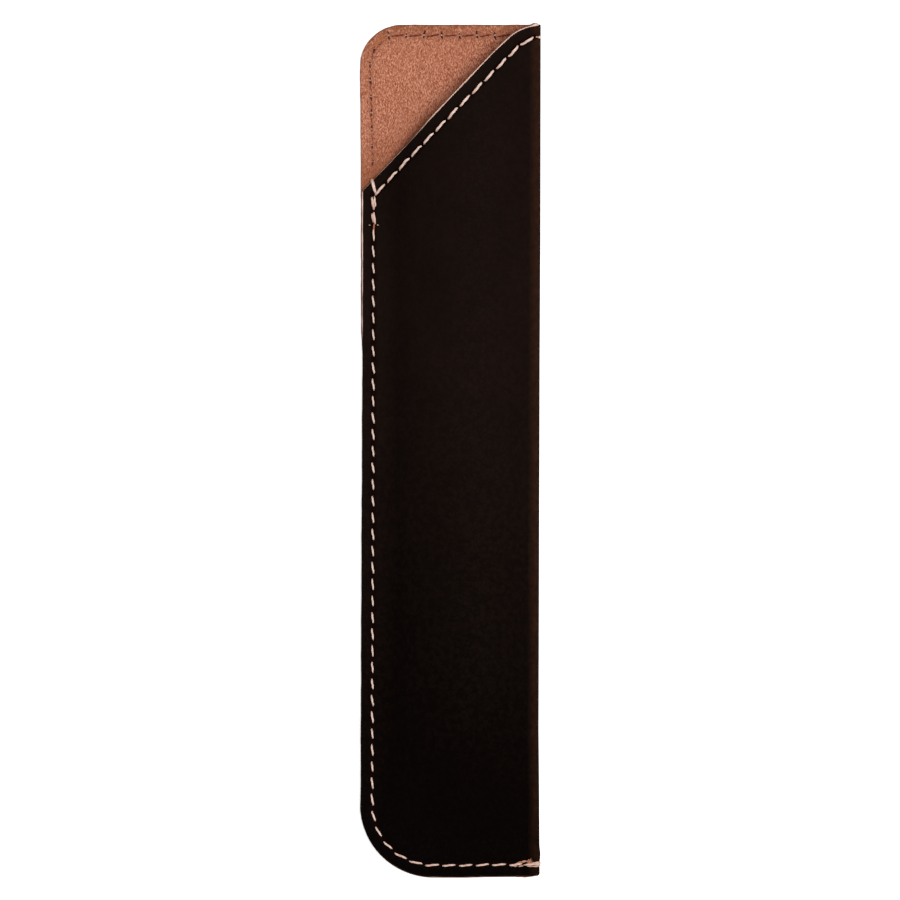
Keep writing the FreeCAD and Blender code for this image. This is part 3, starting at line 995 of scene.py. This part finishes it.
def end_over_fold(thread):
    """The hem's last stitch, over the fold: a stained dash and a pale end."""
    last_x, last_y = hem_holes[-1]
    low_y = last_y - 0.05 * mm
    dash = [(last_x + 0.25 * mm, last_y), (right - 0.55 * mm, last_y - 0.02 * mm)]
    end = [(right - 0.42 * mm, last_y), (right - 0.2 * mm, low_y), (right + 0.02 * mm, low_y)]
    for places, thick, tone in ((dash, 0.17 * mm, 0.8), (end, 0.27 * mm, 0.0)):
        keys = [(x, y, float(front_height(min(x, right), y)) + over_fold_rise) for x, y in places]
        thread.strand(smooth_path(keys), over_fold_up, tapered(thick, 0.5, 3), 3, 0.5, 1.0, tone)


def specks_in_tab_holes(thread):
    """Needle thread shows as a pale speck in each hole of the tab."""
    for number, (x, y) in enumerate(tab_holes):
        chance = chance_of(number)
        half = 0.22 + 0.1 * chance
        offsets = [(-half, 0.1, -0.12), (0, 0.12, -0.02), (half, 0.16, -0.12)]
        centre = route((x, y, sheet_thickness), offsets)
        thread.strand(centre, upward, tapered(0.15 * mm, 0.5, 3), 2, 0.5, number, 0.45 + 0.25 * chance)


def scuffed_corner(thread):
    """Scuffed fibres round the corner of the tab's hem."""
    for number in range(corner_fibre_count):
        share = 0.5 + 0.5 * chance_of(number + 0.15)
        x = (-14.9 + 2.6 * share + 0.4 * chance_of(number + 0.45)) * mm
        y = (78.2 + 2.5 * share + 0.4 * chance_of(number + 0.85)) * mm
        reach = 0.45 + 0.25 * chance_of(number + 0.65)
        lean = 0.75 + 0.35 * chance_of(number + 0.25)
        far_x = reach * math.cos(lean)
        far_y = reach * math.sin(lean)
        offsets = [(-far_x, -far_y, -0.04), (0, 0, 0.1), (far_x, far_y, -0.04)]
        centre = route((x, y, sheet_thickness), offsets)
        thread.strand(centre, upward, tapered(0.08 * mm, 0.6, 2), 1, 0, 0, 0.85 + 0.15 * lean)


def hem_needle_stitches():
    thread = Thread()
    thread.row(hem_holes, front_height, 1, hem_look, hem_slant, 60)
    thread.row(tab_holes, outside_back, -1, pressed_look, pressed_slant, 90)
    end_over_fold(thread)
    specks_in_tab_holes(thread)
    scuffed_corner(thread)
    return thread.made("hem_needle_stitches")


def loose_tails(thread, beside):
    """Dark loose ends at the holes of the tab, fainter down its side."""
    for number, (x, y) in enumerate(tab_holes):
        tone = 0.3 if number > beside else 0.8
        for way in (-1, 1):
            reach = 0.65 + 0.4 * chance_of(number + 0.2 * way)
            lean = 0.25 * chance_of(number + 0.4 * way)
            centre = route((x, y, sheet_thickness), [
                (0, 0.14 * way, -0.12),
                (0.5 * lean * reach, 0.6 * way * reach, 0.06),
                (lean * reach, way * reach, -0.02),
            ])
            radius = 0.2 * mm * (1 - 0.7 * ring_share ** 2)
            thread.strand(centre, upward, radius, 2, 0.7, number, tone)


def hem_bobbin_stitches():
    thread = Thread()
    beside = int(np.argmax(tab_holes[:, 0] < left + tab_side_width))
    thread.row(tab_holes[:beside + 1], inside_back, 1, pressed_look, pressed_slant, 120)
    thread.row(tab_holes[beside:], inside_back, 1, faint_look, pressed_slant, 140)
    thread.row(hem_holes, inside_front, -1, pressed_look, pressed_slant, 150)
    loose_tails(thread, beside)
    return thread.made("hem_bobbin_stitches")


def side_bobbin_stitches():
    thread = Thread()
    thread.row(np.vstack([[lip_place], side_holes]), outside_back, -1, pressed_look, pressed_slant, 180)
    return thread.made("side_bobbin_stitches")


def mouth_backtack_thread():
    """A second strand on the first two stitches, a stained end, and the stitch over the mouth edge."""
    thread = Thread()
    thread.row(side_holes[:3] + doubled_shift, front_height, 1, backtack_look, side_slant, 240)
    third_hole = (*side_holes[2], seam_height)
    stained = route(third_hole, [(0.22, 0.8, 0.1), (0.12, 0, 0.1), (0.1, -0.9, -0.1)])
    thread.strand(stained, upward, tapered(0.15 * mm, 0.4, 4), 2, 0.7, 0.5, 1.0)
    for aside in (-0.7, 0.86):
        speck = route(third_hole, [(aside - 0.14, 0.3, 0.1), (aside + 0.14, 0.24, 0.1)])
        thread.strand(speck, upward, tapered(0.09 * mm, 0.6, 2), 1, 0, 0, 0.1)
    # over the mouth edge, from the tab down to the side seam
    tab_depth = (sheet_thickness - seam_height) / mm
    over = route((*(side_holes[0] + lip_shift), seam_height), [
        (-0.66, 2.65, tab_depth + 0.5),
        (-0.6, 2.3, -0.1),
        (-0.44, 1.6, 0.35),
        (-0.14, 0.6, 0.25),
        (0, 0, -0.2),
    ])
    radius = 0.35 * mm * (1 - 0.3 * ring_share - 0.2 * from_middle ** 6)
    thread.strand(over, upward, radius, 3, 0.6, 0.4, 0.5 * (1 - ring_share) ** 3)
    return thread.made("mouth_backtack_thread")


# Strands at the fold: millimetres from where the bottom seam meets the fold, then radius and stain
fold_strands = (
    ([(-4.4, 0.28, 0.12), (-3.7, 0.45, 0.45), (-2.9, 0.62, 0.45), (-2.3, 0.6, 0.12)], 0.22 * mm, 0.8),
    ([(-5.1, -0.3, -0.08), (-4.7, -0.3, 0.12), (-4.3, -0.28, -0.08)], 0.18 * mm, 0.55),
    ([(-4.1, -0.3, -0.08), (-3.7, -0.3, 0.12), (-3.2, -0.26, -0.08)], 0.18 * mm, 0.6),
    ([(-3.1, -0.12, -0.08), (-2.3, 0.0, 0.45), (-1.1, 0.05, 0.45), (-0.25, 0.06, -0.4),
      (0.06, 0.06, -1.3), (-0.3, 0.06, -2.05)], 0.23 * mm, 0.15),
    ([(-2.4, -0.34, 0.02), (-1.7, -0.34, 0.12), (-0.9, -0.36, 0.12), (-0.2, -0.3, -0.7),
      (0.06, -0.25, -1.3), (-0.2, -0.2, -1.9)], 0.2 * mm, 0.5),
    ([(-1.4, 0.3, 0.12), (-0.7, 0.34, 0.12), (-0.1, 0.36, -0.7), (0.06, 0.36, -1.3),
      (-0.2, 0.34, -1.9)], 0.2 * mm, 0.35),
)


def fold_backtack_thread():
    """The end of the bottom seam, sewn over twice, drawn round the fold and frayed."""
    thread = Thread()
    seam_end = (right, bottom_seam_y, seam_height)
    for number, (offsets, thick, tone) in enumerate(fold_strands):
        thread.strand(route(seam_end, offsets), along_sleeve, tapered(thick, 0.5, 3), 2, 1.2, number, tone)
    # frayed tuft that stands off the stitches towards the mouth
    for number in range(tuft_fibre_count):
        off_centre = chance_of(number + 0.1)
        lean = chance_of(number + 0.5)
        foot = -1.88 + 0.4 * off_centre
        rise = (0.78 + 0.3 * chance_of(number + 0.8)) * (1 - 0.45 * abs(off_centre))
        centre = route(seam_end, [
            (foot, 0.25, 0.02),
            (foot + 0.12 * lean, 0.25 + 0.55 * rise, 0.35),
            (foot + 0.3 * lean - 0.12 * off_centre, 0.25 + rise, 0.45 + 0.15 * lean),
        ])
        thread.strand(centre, upward, 0.06 * mm * (1 - 0.6 * ring_share), 1, 0, 0, 0.85 + 0.15 * lean)
    return thread.made("fold_backtack_thread")


# Each piece, with the node of the CAD and the material slot that it stands for
pieces = (
    (cover_skin, "outer_cover", "leatherette"),
    (base_cloth_sheet, "base_cloth", "base_cloth"),
    (lining_suede, "suede_lining", "suede"),
    (side_needle_stitches(), "side_seam_needle_thread", "pale_thread"),
    (hem_needle_stitches(), "mouth_hem_needle_thread", "pale_thread"),
    (hem_bobbin_stitches(), "mouth_hem_bobbin_thread", "rust_thread"),
    (side_bobbin_stitches(), "side_seam_bobbin_thread", "rust_thread"),
    (mouth_backtack_thread(), "mouth_backtack", "pale_thread"),
    (fold_backtack_thread(), "fold_backtack", "pale_thread"),
)
finishes = {
    "leatherette": leatherette(),
    "base_cloth": base_cloth(),
    "suede": suede(),
    "pale_thread": pale_thread(),
    "rust_thread": rust_thread(),
}
for piece, node, slot in pieces:
    piece.data.materials.clear()
    piece.data.materials.append(finishes[slot])
    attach(piece, "root")
    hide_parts(node)


# Floor, light and camera

def white_floor():
    floor_size = 6.0
    floor_gap = 0.05 * mm
    floor_white = (0.85, 0.85, 0.85, 1)
    glow_strength = 0.65

    deselect_all()
    bpy.ops.mesh.primitive_plane_add(size=floor_size, location=(0, 0, -floor_gap))
    floor = bpy.context.object
    floor.name = "floor"
    finish = new_finish("white floor")
    # a glow that only the camera sees keeps the floor white
    lit = finish.node("Math", 0, {0: finish.camera_ray(), 1: glow_strength}, operation="MULTIPLY")
    glow = finish.node("Emission", 0, {"Strength": lit})
    plain = finish.nodes["Principled BSDF"].outputs[0]
    both = finish.node("AddShader", 0, {0: plain, 1: glow})
    finish.join(finish.nodes["Material Output"], {"Surface": both})
    floor.data.materials.append(finish.shaded(floor_white, 0.9, 0.0, {}))


def soft_light(name, place, size, watts):
    """A rectangular light aimed at the middle of the sleeve."""
    light = bpy.data.lights.new(name, "AREA")
    light.shape = "RECTANGLE"
    light.size, light.size_y = size
    light.energy = watts
    holder = bpy.data.objects.new(name, light)
    holder.location = place
    holder.rotation_euler = (-Vector(place)).to_track_quat("-Z", "Y").to_euler()
    bpy.context.scene.collection.objects.link(holder)


def dim_room():
    """White all round, bright to the camera and dim as a light."""
    dim_level = 0.2
    bright_level = 1.0

    room = Finish(bpy.data.worlds.new("room"))
    level = room.ranged(room.camera_ray(), 0.0, 1.0, dim_level, bright_level)
    room.join(room.nodes["Background"], {"Color": (1, 1, 1, 1), "Strength": level})
    bpy.context.scene.world = room.owner


def camera_above():
    view_width = 174.4 * mm
    middle_x = -0.02 * mm
    middle_y = 0.19 * mm
    height = 2.0

    camera = bpy.data.cameras.new("camera")
    camera.sensor_width = 36
    camera.lens = camera.sensor_width * height / view_width
    camera.clip_end = 20
    holder = bpy.data.objects.new("camera", camera)
    holder.location = (middle_x, middle_y, height)
    bpy.context.scene.collection.objects.link(holder)
    bpy.context.scene.camera = holder


white_floor()
soft_light("overhead softbox", place=(0.16, 0.05, 1.0), size=(0.4, 0.4), watts=9.6)
soft_light("fold side strip", place=(0.7, 0.1, 0.35), size=(0.3, 0.8), watts=0.8)
dim_room()
camera_above()
bpy.context.scene.view_settings.view_transform = "Standard"
